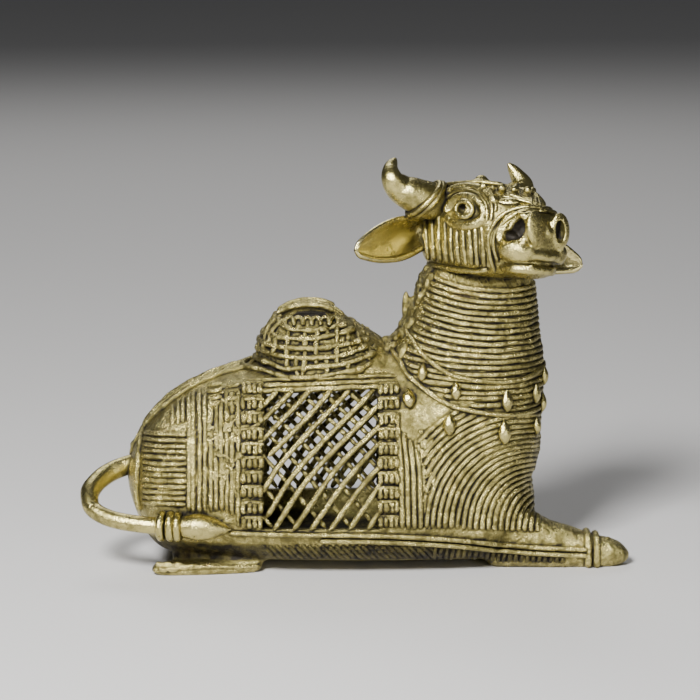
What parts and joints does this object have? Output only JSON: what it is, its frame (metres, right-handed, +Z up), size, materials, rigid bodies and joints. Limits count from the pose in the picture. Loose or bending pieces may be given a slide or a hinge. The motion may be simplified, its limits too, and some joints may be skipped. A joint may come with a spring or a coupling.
{
  "type": "nandi bull figure",
  "caption": "Reclining humped bull cast in brass in one piece, hollow, with openwork lattice flanks, bell necklaces and its head turned to its right.",
  "frame": {"origin": "middle of the figure's footprint, on the ground", "axes": "+X towards the front hooves, +Y to the figure's left, +Z up"},
  "size_m": [0.1194, 0.0448, 0.0884],
  "materials": {
    "brass": "antiqued cast brass, rubbed bright on the raised wires and dark in the recesses"
  },
  "bodies": {
    "root": {"nandi_bull": "brass"}
  },
  "joints": []
}
